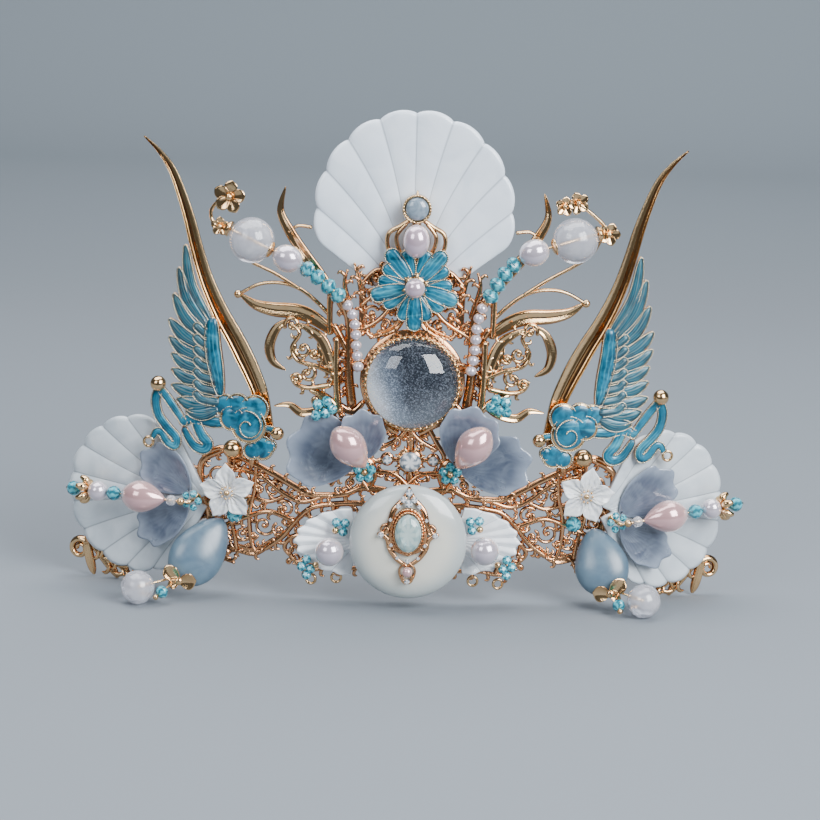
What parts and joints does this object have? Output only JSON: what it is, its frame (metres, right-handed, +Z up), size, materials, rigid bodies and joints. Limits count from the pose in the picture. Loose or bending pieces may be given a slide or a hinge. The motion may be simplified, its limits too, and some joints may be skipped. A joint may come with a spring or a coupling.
{
  "type": "hair crown",
  "caption": "Gold filigree hair crown with a fan shell, a crystal dome, a jade disc, enamel wings, slim horns, pearl drops and shell fans at the sides.",
  "frame": {"origin": "centre of the overall box in X and Y, at the surface that the crown stands on", "axes": "+X across the crown to the viewer's right, +Y back toward the wearer's head, +Z up"},
  "size_m": [0.2167, 0.0423, 0.1551],
  "materials": {
    "gold": "polished",
    "rose_gold": "polished",
    "enamel": "gloss",
    "shell": "satin",
    "crystal": "polished",
    "jade": "polished",
    "aqua_stone": "polished",
    "quartz": "polished",
    "white_pearl": "satin",
    "pink_pearl": "satin",
    "teal_glass": "polished",
    "violet_petal": "satin"
  },
  "bodies": {
    "root": {"frame_center": "rose_gold", "frame_left": "rose_gold", "frame_right": "rose_gold", "scroll_left": "gold", "scroll_right": "gold", "spray_left": "gold", "spray_right": "gold", "branch_wire_left": "gold", "branch_wire_right": "gold", "branch_beads_left": "white_pearl", "branch_beads_right": "white_pearl", "quartz_ball_left": "quartz", "quartz_ball_right": "quartz", "tip_flower_left": "gold", "tip_flower_right": "gold", "horn_left": "gold", "horn_right": "gold", "wing_left": "enamel", "wing_right": "enamel", "fan_shell_top": "shell", "top_setting": "gold", "top_cabochon": "aqua_stone", "center_pearls": "pink_pearl", "enamel_flower": "enamel", "crystal_bezel": "gold", "crystal_dome": "crystal", "panel_gems": "crystal", "jade_disc": "jade", "ornament_frame": "rose_gold", "ornament_stones": "crystal", "small_fan_left": "shell", "small_fan_right": "shell", "fan_beads_left": "white_pearl", "fan_beads_right": "white_pearl", "violet_petals_left": "violet_petal", "violet_petals_right": "violet_petal", "pink_drop_left": "pink_pearl", "pink_drop_right": "pink_pearl", "petal_beads_left": "teal_glass", "petal_beads_right": "teal_glass", "side_shell_left": "shell", "side_shell_right": "shell", "side_petals_left": "violet_petal", "side_petals_right": "violet_petal", "side_drop_left": "pink_pearl", "side_drop_right": "pink_pearl", "side_beads_left": "white_pearl", "side_beads_right": "white_pearl", "side_wire_left": "gold", "side_wire_right": "gold", "white_flower_left": "shell", "white_flower_right": "shell", "teardrop_left": "aqua_stone", "teardrop_right": "aqua_stone", "quartz_foot_left": "quartz", "quartz_foot_right": "quartz", "foot_cap_left": "gold", "foot_cap_right": "gold", "loops_left": "gold", "loops_right": "gold"}
  },
  "joints": []
}
